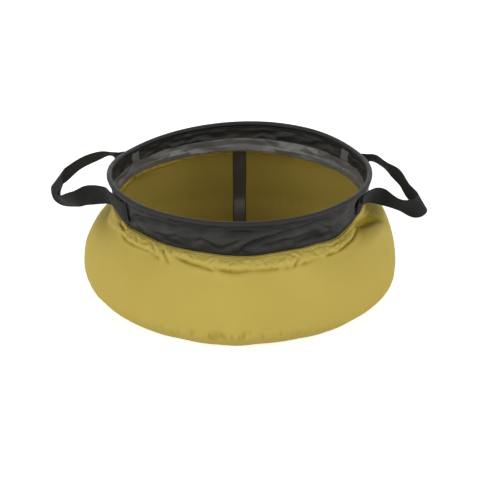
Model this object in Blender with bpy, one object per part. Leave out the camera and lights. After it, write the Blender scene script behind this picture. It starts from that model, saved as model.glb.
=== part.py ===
"""A collapsible camp washbasin: a bulging bowl of coated cloth under a collar that hangs on a spring-wire hoop,
with a webbing carry handle at each side."""

import math

import bmesh
import bpy
from mathutils import Matrix, Vector

# Driving sizes, in metres
RIM_DIAMETER = 0.320
BASIN_HEIGHT = 0.159
BULGE_DIAMETER = 0.383
BULGE_HEIGHT = 0.0388
BASE_DIAMETER = 0.243
COLLAR_FOOT_DIAMETER = 0.3056
COLLAR_HEIGHT = 0.0422
CLOTH_THICKNESS = 0.0010
CLEARANCE = 0.0003

# Hoop, ferrule and the hem that holds them
WIRE_DIAMETER = 0.0030
WIRE_END_GAP = 0.0020
FERRULE_WALL = 0.0005
FERRULE_LENGTH = 0.026
HEM_DEPTH = 0.0052
FERRULE_AZIMUTH = math.radians(90)

# Seams and the tapes behind them
SEAM_ALLOWANCE = 0.0080
TAPE_THICKNESS = 0.0006
BASE_TAPE_WIDTH = 0.020
COLLAR_TAPE_WIDTH = 0.018
PANEL_SEAM_ANGLE = math.radians(30)
BODY_SEAM_AZIMUTH = math.radians(90)

# Gathers drawn into the shoulder of the body by the collar seam
GATHER_COUNT = 12
GATHER_DEPTH = 0.0018
GATHER_SHOULDER_SHARE = 0.80
GATHER_WIDTH_SHARE = 0.16

# Handles
WEBBING_WIDTH = 0.025
WEBBING_THICKNESS = 0.0015
HANDLE_SPREAD = 0.104
HANDLE_REACH = 0.060
TAB_BEND = 0.009
LAP_LENGTH = 0.005
HEM_MARGIN = 0.0006

# Curvature of the body's lower and upper quarters, 1 being an ellipse
LOWER_FULLNESS = 1.0
UPPER_FULLNESS = 1.15

# How finely round forms are cut
COLUMNS = 72
LOWER_ROWS = 5
UPPER_ROWS = 6
STEPS_PER_STATION = 4
WELD_DISTANCE = 0.00001

# Each handle from its front end round to its back end, as (share of reach outwards, share of the half spread from
# front to back, share of the webbing width upwards, lean of the webbing's top edge towards the inside of the loop)
LEFT_HANDLE_SHARES = [
    (0.40, -0.97, 0.06, math.radians(0)),
    (0.56, -0.76, -0.02, math.radians(-6)),
    (0.76, -0.46, -0.38, math.radians(-4)),
    (0.88, -0.10, -0.50, math.radians(22)),
    (0.90, 0.24, -0.20, math.radians(30)),
    (0.74, 0.58, 0.06, math.radians(28)),
    (0.56, 0.86, 0.20, math.radians(22)),
    (0.40, 1.00, 0.10, math.radians(8)),
]
RIGHT_HANDLE_SHARES = [
    (0.38, -1.00, -0.04, math.radians(-3)),
    (0.54, -1.02, -0.24, math.radians(-10)),
    (0.70, -0.96, -0.44, math.radians(4)),
    (0.85, -0.72, -0.46, math.radians(24)),
    (0.77, -0.32, -0.24, math.radians(20)),
    (0.58, 0.16, 0.00, math.radians(18)),
    (0.49, 0.60, 0.10, math.radians(16)),
    (0.40, 0.98, 0.06, math.radians(2)),
]


def clear_scene():
    for obj in list(bpy.data.objects):
        bpy.data.objects.remove(obj)


def make_material(name, colour, roughness, metallic=0.0):
    material = bpy.data.materials.new(name)
    material.use_nodes = True
    shader = material.node_tree.nodes["Principled BSDF"]
    shader.inputs["Base Color"].default_value = (*colour, 1.0)
    shader.inputs["Roughness"].default_value = roughness
    shader.inputs["Metallic"].default_value = metallic
    return material


def add_empty(name, location):
    empty = bpy.data.objects.new(name, None)
    empty.location = location
    bpy.context.scene.collection.objects.link(empty)
    return empty


def add_piece(name, bm, material, parent):
    """One named object whose mesh, given in world places, is kept about its parent's origin."""
    bmesh.ops.recalc_face_normals(bm, faces=bm.faces)
    bm.transform(Matrix.Translation(-parent.location))
    mesh = bpy.data.meshes.new(name)
    bm.to_mesh(mesh)
    bm.free()
    mesh.shade_smooth()
    mesh.set_sharp_from_angle(angle=math.radians(40))
    mesh.materials.append(material)
    piece = bpy.data.objects.new(name, mesh)
    piece.parent = parent
    bpy.context.scene.collection.objects.link(piece)
    return piece


def thicken(piece, thickness, offset):
    """Turns an open sheet into a solid cloth: offset -1 grows it behind its face, 0 to both sides."""
    solidify = piece.modifiers.new("thickness", "SOLIDIFY")
    solidify.thickness = thickness
    solidify.offset = offset
    solidify.use_even_offset = True


def spin_line(profile, start, sweep, closed_profile=False):
    """A profile of (radius, height) points spun about the vertical axis through sweep, one step to each column."""
    bm = bmesh.new()
    across = Vector((math.cos(start), math.sin(start), 0))
    verts = [bm.verts.new(across * radius + Vector((0, 0, height))) for radius, height in profile]
    pairs = list(zip(verts, verts[1:]))
    if closed_profile:
        pairs.append((verts[-1], verts[0]))
    edges = [bm.edges.new(pair) for pair in pairs]
    steps = round(sweep / math.tau * COLUMNS)
    bmesh.ops.spin(bm, geom=verts + edges, axis=(0, 0, 1), cent=(0, 0, 0), angle=sweep, steps=steps)
    if steps == COLUMNS:
        bmesh.ops.remove_doubles(bm, verts=bm.verts, dist=WELD_DISTANCE)
    return bm


def face_outwards(piece):
    """Turns a spun sheet so that its faces look away from the vertical axis."""
    mesh = piece.data
    face = max(mesh.polygons, key=lambda polygon: abs(radial_part(polygon)))
    if radial_part(face) < 0:
        mesh.flip_normals()


def radial_part(polygon):
    return polygon.normal.x * polygon.center.x + polygon.normal.y * polygon.center.y


def sheet_from_edges(lower, upper):
    """A ribbon of faces between two lines of points."""
    bm = bmesh.new()
    rows = [(bm.verts.new(a), bm.verts.new(b)) for a, b in zip(lower, upper)]
    for (a, b), (c, d) in zip(rows, rows[1:]):
        bm.faces.new((a, c, d, b))
    return bm


# The collar's line runs from the wire's centre down to the collar's foot, and everything in the rim follows it
WIRE_RADIUS = WIRE_DIAMETER / 2
FERRULE_BORE_RADIUS = WIRE_RADIUS + CLEARANCE
FERRULE_RADIUS = FERRULE_BORE_RADIUS + FERRULE_WALL
POCKET_RADIUS = FERRULE_RADIUS + CLEARANCE
BULB_RADIUS = POCKET_RADIUS + CLOTH_THICKNESS
HOOP_RADIUS = RIM_DIAMETER / 2 - BULB_RADIUS
HOOP_HEIGHT = BASIN_HEIGHT - BULB_RADIUS
HALF_CLOTH = CLOTH_THICKNESS / 2
FOOT_RADIUS = COLLAR_FOOT_DIAMETER / 2 - HALF_CLOTH
COLLAR_FOOT_HEIGHT = BASIN_HEIGHT - COLLAR_HEIGHT
COLLAR_LENGTH = math.hypot(HOOP_RADIUS - FOOT_RADIUS, HOOP_HEIGHT - COLLAR_FOOT_HEIGHT)
DOWN = ((FOOT_RADIUS - HOOP_RADIUS) / COLLAR_LENGTH, (COLLAR_FOOT_HEIGHT - HOOP_HEIGHT) / COLLAR_LENGTH)
OUT = (-DOWN[1], DOWN[0])
TAB_OFFSET = HALF_CLOTH + CLEARANCE + WEBBING_THICKNESS / 2


def on_collar(down, out):
    """(radius, height) at a distance down the collar's line from the wire, and out from the middle of its cloth."""
    radius = HOOP_RADIUS + DOWN[0] * down + OUT[0] * out
    return radius, HOOP_HEIGHT + DOWN[1] * down + OUT[1] * out


def collar_radius_at(height, out):
    """The collar's radius at a height, out from the middle of its cloth."""
    down = (height - HOOP_HEIGHT - OUT[1] * out) / DOWN[1]
    return on_collar(down, out)[0]


def body_point(share):
    """(radius, height) on the body's outer face, from the base seam at 0 over the bulge at 1 to the collar at 2."""
    turn = share % 1 * math.pi / 2
    bulge = BULGE_DIAMETER / 2
    if share < 1:
        base = BASE_DIAMETER / 2
        radius = base + (bulge - base) * math.sin(turn) ** LOWER_FULLNESS
        return radius, BULGE_HEIGHT * (1 - math.cos(turn) ** LOWER_FULLNESS)
    if share >= 2:
        turn = math.pi / 2
    neck_radius = COLLAR_FOOT_DIAMETER / 2
    neck_height = COLLAR_FOOT_HEIGHT - CLEARANCE
    radius = neck_radius + (bulge - neck_radius) * max(math.cos(turn), 0) ** UPPER_FULLNESS
    return radius, BULGE_HEIGHT + (neck_height - BULGE_HEIGHT) * math.sin(turn) ** UPPER_FULLNESS


def body_profile():
    """The body's outer face from the base seam over the bulge and the shoulder to the collar."""
    lower = [body_point(row / LOWER_ROWS) for row in range(LOWER_ROWS)]
    upper = [body_point(1 + row / UPPER_ROWS) for row in range(UPPER_ROWS + 1)]
    return lower + upper


def set_in(profile, depth):
    """The profile moved inwards by a depth, its corners mitred, so that it lies even on the faceted cloth."""
    moved = []
    for index, point in enumerate(profile):
        before = profile[max(index - 1, 0)]
        after = profile[min(index + 1, len(profile) - 1)]
        sides = []
        for start, end in ((before, point), (point, after)):
            length = math.dist(start, end)
            if length > 0:
                sides.append(((end[1] - start[1]) / length, (start[0] - end[0]) / length))
        first, second = sides[0], sides[-1]
        reach = depth / (1 + first[0] * second[0] + first[1] * second[1])
        moved.append((point[0] - (first[0] + second[0]) * reach, point[1] - (first[1] + second[1]) * reach))
    return moved


def gather(azimuth, height):
    """How far the shoulder is drawn in there: pleats that die away above, below and at the body's back seam."""
    bulge_to_foot = COLLAR_FOOT_HEIGHT - BULGE_HEIGHT
    middle = BULGE_HEIGHT + bulge_to_foot * GATHER_SHOULDER_SHARE
    away = (height - middle) / (bulge_to_foot * GATHER_WIDTH_SHARE)
    if height > COLLAR_FOOT_HEIGHT - CLEARANCE - HALF_CLOTH:
        return 0
    wave = (1 - math.cos(GATHER_COUNT * (azimuth - BODY_SEAM_AZIMUTH))) / 2
    return GATHER_DEPTH * wave * math.exp(-away * away)


def draw_in_gathers(bm):
    for vert in bm.verts:
        depth = gather(math.atan2(vert.co.y, vert.co.x), vert.co.z)
        flat = Vector((vert.co.x, vert.co.y, 0)).normalized()
        vert.co -= flat * depth


def build_base(carrier, cloth, tape):
    radius = BASE_DIAMETER / 2 - CLEARANCE
    bm = bmesh.new()
    bmesh.ops.create_circle(bm, cap_ends=True, segments=COLUMNS, radius=radius)
    panel = add_piece("base_panel", bm, cloth, carrier)
    thicken(panel, CLOTH_THICKNESS, 1.0)

    depth = CLOTH_THICKNESS + CLEARANCE
    seam_radius = BASE_DIAMETER / 2
    corner, up_the_wall = set_in(body_profile(), depth)[:2]
    reach = BASE_TAPE_WIDTH / 2 / math.dist(corner, up_the_wall)
    end = (corner[0] + (up_the_wall[0] - corner[0]) * reach, corner[1] + (up_the_wall[1] - corner[1]) * reach)
    profile = [(seam_radius - BASE_TAPE_WIDTH / 2, depth), (seam_radius - CLOTH_THICKNESS, depth), corner, end]
    ring = spin_line(profile, 0, math.tau)
    piece = add_piece("base_seam_tape", ring, tape, carrier)
    lift_upwards(piece)
    thicken(piece, TAPE_THICKNESS, 1.0)


def lift_upwards(piece):
    """Turns a nearly flat sheet so that its faces look up."""
    if sum(polygon.normal.z for polygon in piece.data.polygons) < 0:
        piece.data.flip_normals()


def build_body_wall(carrier, cloth, tape):
    face = body_profile()
    behind = -(HALF_CLOTH + CLEARANCE)
    corner_height = face[-1][1]
    corner = (collar_radius_at(corner_height, behind), corner_height)
    top = on_collar(COLLAR_LENGTH - SEAM_ALLOWANCE, behind)
    bm = spin_line(face + [corner, top], 0, math.tau)
    draw_in_gathers(bm)
    wall = add_piece("body_wall", bm, cloth, carrier)
    face_outwards(wall)
    thicken(wall, CLOTH_THICKNESS, -1.0)

    inside = set_in(face, CLOTH_THICKNESS + CLEARANCE)
    column = math.tau / COLUMNS
    sides = []
    for side in (-1, 0, 1):
        line = []
        for (radius, height), (_, outer_height) in list(zip(inside, face))[1:-1]:
            line.append(facet_point(BODY_SEAM_AZIMUTH, side, column, radius, height, outer_height))
        sides.append(line)
    strip = bmesh.new()
    grid = [[strip.verts.new(point) for point in line] for line in sides]
    for left, right in zip(grid, grid[1:]):
        for a, b, c, d in zip(left, left[1:], right[1:], right):
            strip.faces.new((a, b, c, d))
    piece = add_piece("body_seam_tape", strip, tape, carrier)
    face_outwards(piece)
    thicken(piece, TAPE_THICKNESS, -1.0)


def facet_point(azimuth, side, column, radius, height, outer_height):
    """A place in the middle of the facet beside a column of the shell, or on the column itself when side is 0.
    The gathers there are those of the shell's outer face, at its height."""
    places = []
    for turn in (azimuth, azimuth + side * column):
        across = Vector((math.cos(turn), math.sin(turn), 0))
        places.append(across * (radius - gather(turn, outer_height)))
    return (places[0] + places[1]) / 2 + Vector((0, 0, height))


def build_hoop(carrier, steel, ferrule_steel):
    half_gap = WIRE_END_GAP / 2 / HOOP_RADIUS
    curve = bpy.data.curves.new("rim_wire", "CURVE")
    curve.dimensions = "3D"
    curve.bevel_depth = WIRE_RADIUS
    curve.bevel_resolution = 1
    curve.use_fill_caps = True
    line = curve.splines.new("POLY")
    line.points.add(COLUMNS)
    for index, point in enumerate(line.points):
        turn = half_gap + (math.tau - 2 * half_gap) * index / COLUMNS + FERRULE_AZIMUTH
        point.co = (HOOP_RADIUS * math.cos(turn), HOOP_RADIUS * math.sin(turn), HOOP_HEIGHT, 1)
    curve.materials.append(steel)
    wire = bpy.data.objects.new("rim_wire", curve)
    wire.parent = carrier
    bpy.context.scene.collection.objects.link(wire)

    sweep = FERRULE_LENGTH / HOOP_RADIUS
    sides = 12
    slices = 2
    bm = bmesh.new()
    rings = []
    for index in range(slices + 1):
        turn = FERRULE_AZIMUTH + sweep * (index / slices - 1 / 2)
        across = Vector((math.cos(turn), math.sin(turn), 0))
        centre = across * HOOP_RADIUS + Vector((0, 0, HOOP_HEIGHT))
        ring = []
        for side in range(sides):
            angle = math.tau * side / sides
            reach = across * math.cos(angle) + Vector((0, 0, math.sin(angle)))
            ring.append(bm.verts.new(centre + reach * FERRULE_RADIUS))
        rings.append(ring)
    for near, far in zip(rings, rings[1:]):
        for side in range(sides):
            after = (side + 1) % sides
            bm.faces.new((near[side], near[after], far[after], far[side]))
    ferrule = add_piece("wire_ferrule", bm, ferrule_steel, carrier)
    thicken(ferrule, FERRULE_WALL, -1.0)


def arc_round_wire(radius, half_leg, steps):
    """Points round the wire from the outer leg over the top to the inner leg, where each leg's face meets them."""
    start = math.asin(half_leg / radius)
    points = []
    for step in range(steps + 1):
        turn = start + (math.tau - 2 * start) * step / steps
        points.append(on_collar(radius * math.cos(turn), radius * math.sin(turn)))
    return points


def build_hem(carrier, cloth):
    """Cloth folded over the wire, its two legs gripping the collar's top edge."""
    inner_leg = HALF_CLOTH + CLEARANCE
    outer_leg = inner_leg + CLOTH_THICKNESS
    outside = arc_round_wire(BULB_RADIUS, outer_leg, 8)
    inside = arc_round_wire(POCKET_RADIUS, inner_leg, 8)
    profile = [on_collar(HEM_DEPTH, outer_leg)]
    profile += outside
    profile += [on_collar(HEM_DEPTH, -outer_leg), on_collar(HEM_DEPTH, -inner_leg)]
    profile += list(reversed(inside))
    profile += [on_collar(HEM_DEPTH, inner_leg)]
    bm = spin_line(profile, 0, math.tau, closed_profile=True)
    add_piece("rim_hem", bm, cloth, carrier)


def build_collar(carrier, cloth, tape):
    """Four panels, whose upright seams lie just beyond the ends of the handles."""
    seam = PANEL_SEAM_ANGLE
    panels = {
        "collar_right": (-seam, 2 * seam),
        "collar_back": (seam, math.pi - 2 * seam),
        "collar_left": (math.pi - seam, 2 * seam),
        "collar_front": (math.pi + seam, math.pi - 2 * seam),
    }
    half_gap = CLEARANCE / 2 / FOOT_RADIUS
    profile = [on_collar(POCKET_RADIUS, 0), on_collar(COLLAR_LENGTH / 2, 0), on_collar(COLLAR_LENGTH, 0)]
    for name, (start, sweep) in panels.items():
        bm = spin_line(profile, start, sweep)
        open_seam(bm, start, half_gap)
        open_seam(bm, start + sweep, -half_gap)
        panel = add_piece(name, bm, cloth, carrier)
        face_outwards(panel)
        thicken(panel, CLOTH_THICKNESS, 0)

    allowance = COLLAR_LENGTH - SEAM_ALLOWANCE
    inside_collar = -(HALF_CLOTH + CLEARANCE)
    inside_flange = inside_collar - CLOTH_THICKNESS - CLEARANCE
    step_up = CLOTH_THICKNESS + CLEARANCE
    profile = [
        on_collar(COLLAR_LENGTH - HALF_CLOTH, inside_flange),
        on_collar(allowance - CLEARANCE, inside_flange),
        on_collar(allowance - CLEARANCE - step_up, inside_collar),
        on_collar(COLLAR_LENGTH - COLLAR_TAPE_WIDTH, inside_collar),
    ]
    ring = add_piece("collar_seam_tape", spin_line(profile, 0, math.tau), tape, carrier)
    face_outwards(ring)
    thicken(ring, TAPE_THICKNESS, -1.0)

    top = HEM_DEPTH + CLEARANCE
    bottom = COLLAR_LENGTH - COLLAR_TAPE_WIDTH - CLEARANCE - TAPE_THICKNESS
    column = math.tau / COLUMNS
    seams = {
        "front_right_tape": -seam,
        "back_right_tape": seam,
        "back_left_tape": math.pi - seam,
        "front_left_tape": math.pi + seam,
    }
    for name, azimuth in seams.items():
        strip = bmesh.new()
        rows = []
        for down in (top, bottom):
            radius, height = on_collar(down, inside_collar)
            row = []
            for side in (-1, 0, 1):
                row.append(strip.verts.new(facet_point(azimuth, side, column, radius, height, BASIN_HEIGHT)))
            rows.append(row)
        for a, b, c, d in zip(rows[0], rows[0][1:], rows[1][1:], rows[1]):
            strip.faces.new((a, b, c, d))
        piece = add_piece(name, strip, tape, carrier)
        face_outwards(piece)
        thicken(piece, TAPE_THICKNESS, -1.0)


def open_seam(bm, azimuth, by):
    """Moves a panel's side edge round by a small angle, which leaves the clearance of its seam."""
    edge = Vector((math.cos(azimuth), math.sin(azimuth), 0))
    half_column = math.pi / COLUMNS
    for vert in bm.verts:
        flat = Vector((vert.co.x, vert.co.y, 0))
        if flat.angle(edge) < half_column:
            vert.co = Matrix.Rotation(by, 3, "Z") @ vert.co


# The handles' ends: a tab sewn on the side panel, which turns outwards and laps the strap at the hinge line
WEBBING_TOP = on_collar(HEM_DEPTH, TAB_OFFSET)[1] - CLEARANCE
HINGE_HEIGHT = WEBBING_TOP - WEBBING_WIDTH / 2
TAB_PLANE = HANDLE_SPREAD / 2
STRAP_PLANE = TAB_PLANE - WEBBING_THICKNESS - CLEARANCE
HEM_REACH = math.sqrt((RIM_DIAMETER / 2) ** 2 - (STRAP_PLANE - WEBBING_THICKNESS / 2) ** 2)
HINGE_REACH = HEM_REACH + HEM_MARGIN + WEBBING_WIDTH / 2


def tab_edge(height, side, end):
    """One long edge of a tab in plan: on the collar from the seam to its lift-off, then round and straight out."""
    radius = collar_radius_at(height, TAB_OFFSET)
    column = math.tau / COLUMNS
    lift_off = math.asin(TAB_PLANE / radius) + TAB_BEND / 2 / radius
    angle = PANEL_SEAM_ANGLE - CLEARANCE / radius
    points = []
    while angle > lift_off + column / 4:
        points.append(Vector((radius * math.cos(angle), radius * math.sin(angle))))
        angle = (math.ceil(angle / column) - 1) * column
    start = Vector((radius * math.cos(lift_off), radius * math.sin(lift_off)))
    heading = Vector((math.sin(lift_off), -math.cos(lift_off)))
    corner = start + heading * ((start.y - TAB_PLANE) / -heading.y)
    finish = Vector((corner.x + TAB_BEND, TAB_PLANE))
    bend_steps = 4
    for step in range(bend_steps + 1):
        t = step / bend_steps
        points.append(start * (1 - t) ** 2 + corner * 2 * t * (1 - t) + finish * t**2)
    points.append(Vector((HINGE_REACH + LAP_LENGTH, TAB_PLANE)))
    return [Vector((side * point.x, end * point.y, height)) for point in points]


def build_tab(name, side, end, carrier, webbing):
    lower = tab_edge(WEBBING_TOP - WEBBING_WIDTH, side, end)
    upper = tab_edge(WEBBING_TOP, side, end)
    piece = add_piece(name, sheet_from_edges(lower, upper), webbing, carrier)
    thicken(piece, WEBBING_THICKNESS, 0)


def smooth_through(stations):
    """Values on a smooth curve through the stations, a few to each span."""
    padded = [stations[0]] + list(stations) + [stations[-1]]
    values = []
    for a, b, c, d in zip(padded, padded[1:], padded[2:], padded[3:]):
        for step in range(STEPS_PER_STATION):
            t = step / STEPS_PER_STATION
            values.append(
                (b * 2 + (c - a) * t + (a * 2 - b * 5 + c * 4 - d) * t**2 + (b * 3 - a - c * 3 + d) * t**3) / 2
            )
    values.append(stations[-1])
    return values


def strap_centre(station):
    """A station's place about the hinge line, outwards being +X."""
    out, along, up, lean = station
    return Vector((out * HANDLE_REACH, along * STRAP_PLANE, up * WEBBING_WIDTH, lean))


def build_strap(name, side, shares, hinge, webbing):
    """The free part of a handle: flat webbing along a smooth line, its width turned by the lean at each place."""
    ends = [-LAP_LENGTH, LAP_LENGTH + WEBBING_THICKNESS, LAP_LENGTH * 2 + WEBBING_THICKNESS]
    front = [Vector((out, -STRAP_PLANE, 0, 0)) for out in ends]
    back = [Vector((out, STRAP_PLANE, 0, 0)) for out in reversed(ends)]
    line = smooth_through(front + [strap_centre(station) for station in shares] + back)
    lower = []
    upper = []
    for index, place in enumerate(line):
        before = line[max(index - 1, 0)].to_3d()
        after = line[min(index + 1, len(line) - 1)].to_3d()
        along = (after - before).normalized()
        upright = Vector((0, 0, 1))
        upright = (upright - along * upright.dot(along)).normalized()
        width = Matrix.Rotation(-place.w, 3, along) @ upright
        for edge, sign in ((lower, -1), (upper, 1)):
            point = place.to_3d() + width * sign * WEBBING_WIDTH / 2
            edge.append(hinge.location + Vector((side * point.x, point.y, point.z)))
    piece = add_piece(name, sheet_from_edges(lower, upper), webbing, hinge)
    thicken(piece, WEBBING_THICKNESS, 0)


def build_handles(rim, webbing):
    for side, side_name, shares in ((-1, "left", LEFT_HANDLE_SHARES), (1, "right", RIGHT_HANDLE_SHARES)):
        for end, end_name in ((-1, "front"), (1, "back")):
            build_tab(f"{side_name}_{end_name}_tab", side, end, rim, webbing)
        hinge = add_empty(f"{side_name}_handle_hinge", (side * HINGE_REACH, 0, HINGE_HEIGHT))
        build_strap(f"{side_name}_handle_strap", side, shares, hinge, webbing)


def main():
    clear_scene()
    body_cloth = make_material("body_cloth", (0.440, 0.345, 0.085), 0.50)
    collar_cloth = make_material("collar_cloth", (0.030, 0.030, 0.028), 0.55)
    webbing = make_material("webbing", (0.025, 0.025, 0.024), 0.75)
    seam_tape = make_material("seam_tape", (0.180, 0.180, 0.170), 0.45)
    spring_steel = make_material("spring_steel", (0.550, 0.550, 0.560), 0.30, 1.0)
    plated_steel = make_material("plated_steel", (0.650, 0.640, 0.620), 0.35, 1.0)

    base = add_empty("base_frame", (0, 0, 0))
    rim = add_empty("rim_frame", (0, 0, 0))
    build_base(base, body_cloth, seam_tape)
    build_body_wall(base, body_cloth, seam_tape)
    build_hoop(rim, spring_steel, plated_steel)
    build_hem(rim, collar_cloth)
    build_collar(rim, collar_cloth, seam_tape)
    build_handles(rim, webbing)


main()
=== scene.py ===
import math
import random

import bpy
import numpy as np
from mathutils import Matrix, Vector, noise


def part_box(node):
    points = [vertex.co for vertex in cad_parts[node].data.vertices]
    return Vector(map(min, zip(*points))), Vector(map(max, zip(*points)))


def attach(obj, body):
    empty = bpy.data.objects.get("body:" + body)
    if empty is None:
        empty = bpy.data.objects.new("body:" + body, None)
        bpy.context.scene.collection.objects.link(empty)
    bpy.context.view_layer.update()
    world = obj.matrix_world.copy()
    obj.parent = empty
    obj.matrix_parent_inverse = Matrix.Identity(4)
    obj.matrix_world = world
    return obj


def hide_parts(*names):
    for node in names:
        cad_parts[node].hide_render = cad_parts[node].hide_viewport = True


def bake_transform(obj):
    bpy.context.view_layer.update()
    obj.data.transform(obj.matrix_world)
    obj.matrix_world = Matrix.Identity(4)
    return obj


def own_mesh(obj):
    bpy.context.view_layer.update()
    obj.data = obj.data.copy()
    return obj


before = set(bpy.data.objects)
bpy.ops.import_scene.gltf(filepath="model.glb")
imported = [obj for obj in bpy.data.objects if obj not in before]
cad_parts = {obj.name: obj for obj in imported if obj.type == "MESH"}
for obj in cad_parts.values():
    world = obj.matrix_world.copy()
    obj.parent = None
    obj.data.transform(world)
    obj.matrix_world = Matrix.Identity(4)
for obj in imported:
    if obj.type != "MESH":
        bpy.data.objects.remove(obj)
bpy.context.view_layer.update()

# Camera at the photograph's place, in metres and degrees
CAMERA_DISTANCE = 1.6
CAMERA_ELEVATION = 26.067
CAMERA_LENS = 96.95
CAMERA_SENSOR = 36.0
CAMERA_ASIDE = 0.0007
CAMERA_AIM_HEIGHT = 0.06035

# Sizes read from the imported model, in metres
BULB_RADIUS = 0.0036
_, wall_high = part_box("body_wall")
collar_low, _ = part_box("collar_front")
_, panel_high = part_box("base_panel")
_, hem_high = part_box("rim_hem")
BULGE_RADIUS = wall_high.x
BASE_RADIUS = panel_high.x
FOOT_HEIGHT = collar_low.z
HOOP_RADIUS = hem_high.x - BULB_RADIUS
HOOP_HEIGHT = hem_high.z - BULB_RADIUS

# The rest of the cloth's form
FOOT_RADIUS = 0.1523
BULGE_HEIGHT = 0.0388
UPPER_FULLNESS = 1.15
BODY_CLOTH = 0.0005
COLLAR_CLOTH = 0.0005
HEM_LEG = 0.0052
SEAM_AZIMUTHS = (30, 150, 212.3, 328)
COLLAR_TAPE_WIDTH = 0.018
TAPE_THICKNESS = 0.0003
UPRIGHT_TAPE_WIDTH = 0.016
BODY_TAPE_WIDTH = 0.018
BASE_TAPE_WIDTH = 0.020
BASE_CLOTH_TOP = 0.0011
FOLD_DEPTH = 0.002

# Webbing of the handles
WEBBING_WIDTH = 0.025
WEBBING_THICKNESS = 0.0015
WEBBING_OFF_COLLAR = 0.0013
WEBBING_TOP_DOWN = 0.0050
WEBBING_LIFTS = (0.0, 0.0003, 0.0013, 0.0028)
WEBBING_STEPS = 7

# Each handle from its front root to its back root: how far out, back and up, in metres, and how far the
# webbing's top edge leans towards the inside of the loop, in degrees
LEFT_HANDLE = [
    (0.1476, -0.0599, 0.1405, -15),
    (0.1566, -0.0455, 0.1411, -15),
    (0.1781, -0.0370, 0.1377, 2),
    (0.1944, -0.0354, 0.1316, -24),
    (0.2108, -0.0218, 0.1234, -41),
    (0.2194, -0.0051, 0.1273, 25),
    (0.2227, 0.0146, 0.1356, 37),
    (0.2163, 0.0271, 0.1344, 18),
    (0.1975, 0.0483, 0.1425, 29),
    (0.1771, 0.0641, 0.1457, 41),
    (0.1600, 0.0712, 0.1461, 61),
    (0.1507, 0.0714, 0.1418, 30),
]
RIGHT_HANDLE = [
    (0.1442, -0.0582, 0.1404, -23),
    (0.1579, -0.0396, 0.1387, -26),
    (0.1732, -0.0347, 0.1327, -18),
    (0.1936, -0.0459, 0.1273, -30),
    (0.2105, -0.0465, 0.1259, 14),
    (0.2173, -0.0333, 0.1282, 31),
    (0.2043, -0.0122, 0.1309, 12),
    (0.1951, 0.0073, 0.1409, 13),
    (0.1838, 0.0253, 0.1441, 26),
    (0.1735, 0.0473, 0.1465, 36),
    (0.1596, 0.0594, 0.1461, 51),
    (0.1515, 0.0622, 0.1423, 22),
]

# Where each handle's sewn ends lie, front and back, in degrees from the basin's left-right axis
LEFT_ROOTS = ((32.0, 30.4, 28.4), (29.8, 28.9, 27.6))
RIGHT_ROOTS = ((31.8, 30.0, 27.8), (29.8, 28.6, 27.0, 25.0))


def turned(azimuth, radius, height):
    """Places at an azimuth, a distance from the upright axis and a height."""
    return np.stack(np.broadcast_arrays(radius * np.cos(azimuth), radius * np.sin(azimuth), height), -1)


def swell(value, centre, before, after):
    """A soft bump: 1 at the centre, 0 at a distance before it and at a distance after it."""
    away = value - centre
    share = np.clip(np.where(away < 0, -away / before, away / after), 0, 1)
    return np.cos(share * math.pi / 2) ** 2


def ease(value, start, end):
    """0 at start and 1 at end, smooth between them."""
    share = np.clip((value - start) / (end - start), 0, 1)
    return share * share * (3 - 2 * share)


def between(value, starts, full, ending, ended):
    """0 up to where it starts, 1 from full to ending, and 0 again once it has ended."""
    return ease(value, starts, full) * (1 - ease(value, ending, ended))


def dip(away, width):
    """A soft form round 0 that is 1 high, for a dip or a ridge."""
    return np.exp(-((away / width) ** 2))


def swells(degrees, rows):
    """The sum of swells round the basin. A row is a height, a centre and the reach before and after it."""
    return sum(height * swell(degrees, *around) for height, *around in rows)


def noise_at(places, offset):
    """Blender's soft noise at each place, moved by an offset."""
    flat = places.reshape(-1, 3)
    values = [noise.noise(Vector(place) + offset) for place in flat]
    return np.array(values).reshape(places.shape[:-1])


def ripple(azimuth, reach, size, seed, stretch=1.0):
    """Soft noise over the cloth, between about -1 and 1: size is the width of a swell, in metres."""
    around = HOOP_RADIUS / size
    along = reach / (size * stretch)
    where = np.stack(np.broadcast_arrays(around * np.cos(azimuth), around * np.sin(azimuth), along), -1)
    return noise_at(where, Vector((seed, seed / 2, -seed))) * 2


def ripples(azimuth, reach, rows):
    """The sum of ripples, each row a height and then a size, a seed and a stretch."""
    return sum(height * ripple(azimuth, reach, *form) for height, *form in rows)


def unit(vectors):
    """The vectors at a length of 1."""
    return vectors / np.linalg.norm(vectors, axis=-1, keepdims=True)


def smooth_line(stations, steps):
    """Values on a smooth curve through the stations, with as many steps to each span."""
    stations = np.asarray(stations, float)
    padded = np.concatenate([stations[:1], stations, stations[-1:]])
    t = (np.arange(steps) / steps)[:, None]
    spans = []
    for a, b, c, d in zip(padded, padded[1:], padded[2:], padded[3:]):
        straight = (c - a) * t
        bent = (a * 2 - b * 5 + c * 4 - d) * t**2
        turning = (b * 3 - a - c * 3 + d) * t**3
        spans.append((b * 2 + straight + bent + turning) / 2)
    spans.append(stations[-1:])
    return np.concatenate(spans)


# A fold's section: how sharp its valley is, and each ridge's height as a share of the fold's depth, then its
# middle and its breadth in widths of the fold
VALLEY_SHARPNESS = 1.6
RIDGE_ABOVE = (0.46, -1.6, 1.50)
RIDGE_BELOW = (0.28, 1.9, 1.60)

# The steps to each span of a fold's line, how many widths away it still tells, and where its ends stop fading
FOLD_STEPS = 5
FOLD_REACH = 4
FOLD_TIP = 0.02


def ridge(away, height, centre, breadth):
    """A ridge beside a fold's valley."""
    return height * dip(away - centre, breadth)


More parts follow.
